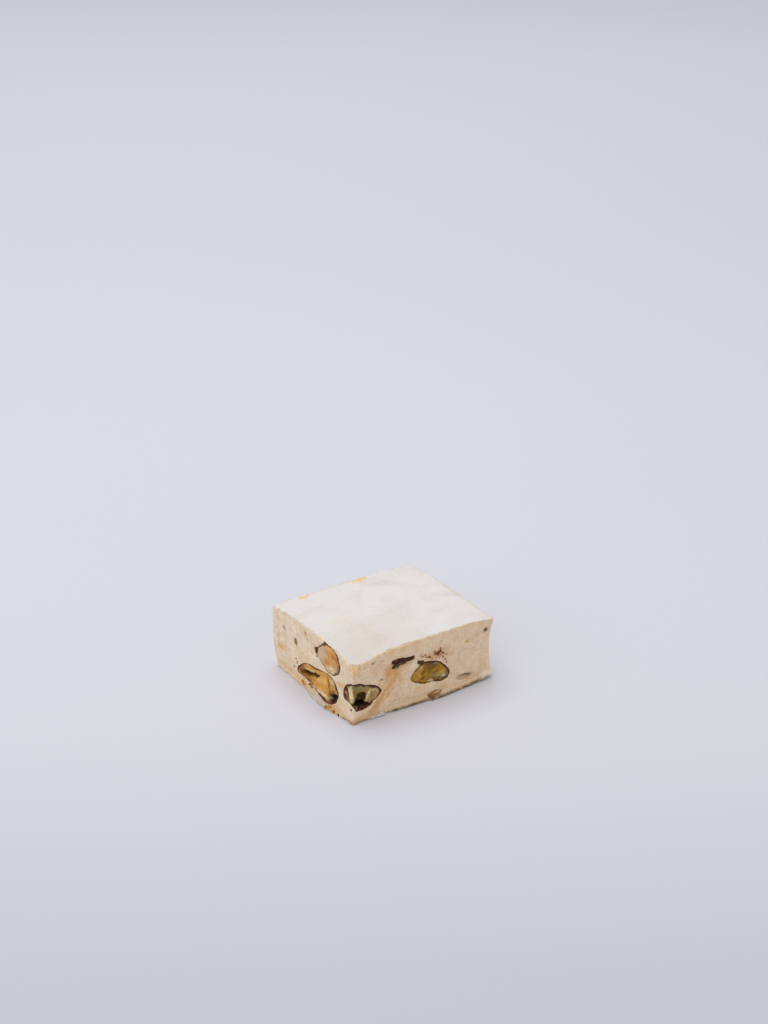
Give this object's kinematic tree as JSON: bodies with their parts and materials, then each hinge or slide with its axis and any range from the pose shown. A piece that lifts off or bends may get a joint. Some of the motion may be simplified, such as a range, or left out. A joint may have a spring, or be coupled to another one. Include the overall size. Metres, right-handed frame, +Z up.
{
  "type": "torrone",
  "caption": "Cut block of soft nougat with almonds and pistachios set in it, between two thin sheets of wafer.",
  "frame": {"origin": "middle of the underside, on the surface that the block stands on", "axes": "+X along the block's longer cut side, +Y from the front cut face to the back one, +Z up through the wafers"},
  "size_m": [0.0519, 0.0436, 0.0208],
  "materials": {
    "nougat": "soft cream nougat, dull and slightly waxy, with fine air bubbles",
    "wafer": "dry white starch wafer, matt",
    "almond": "roasted almond flesh, cut, matt",
    "pistachio": "roasted green pistachio flesh, cut, matt",
    "nut_skin": "dark brown papery nut skin"
  },
  "bodies": {
    "root": {"nougat": "nougat", "wafer_top": "wafer", "wafer_bottom": "wafer", "almond_left_lower": "almond", "almond_left_upper": "almond", "almond_chip_front": "almond", "almond_right_upper": "almond", "almond_right_lower": "almond", "almond_back": "almond", "almond_chip_back": "almond", "pistachio_corner": "pistachio", "pistachio_front": "pistachio", "pistachio_right": "pistachio", "pistachio_back": "pistachio", "skin_sliver_front": "nut_skin"}
  },
  "joints": []
}
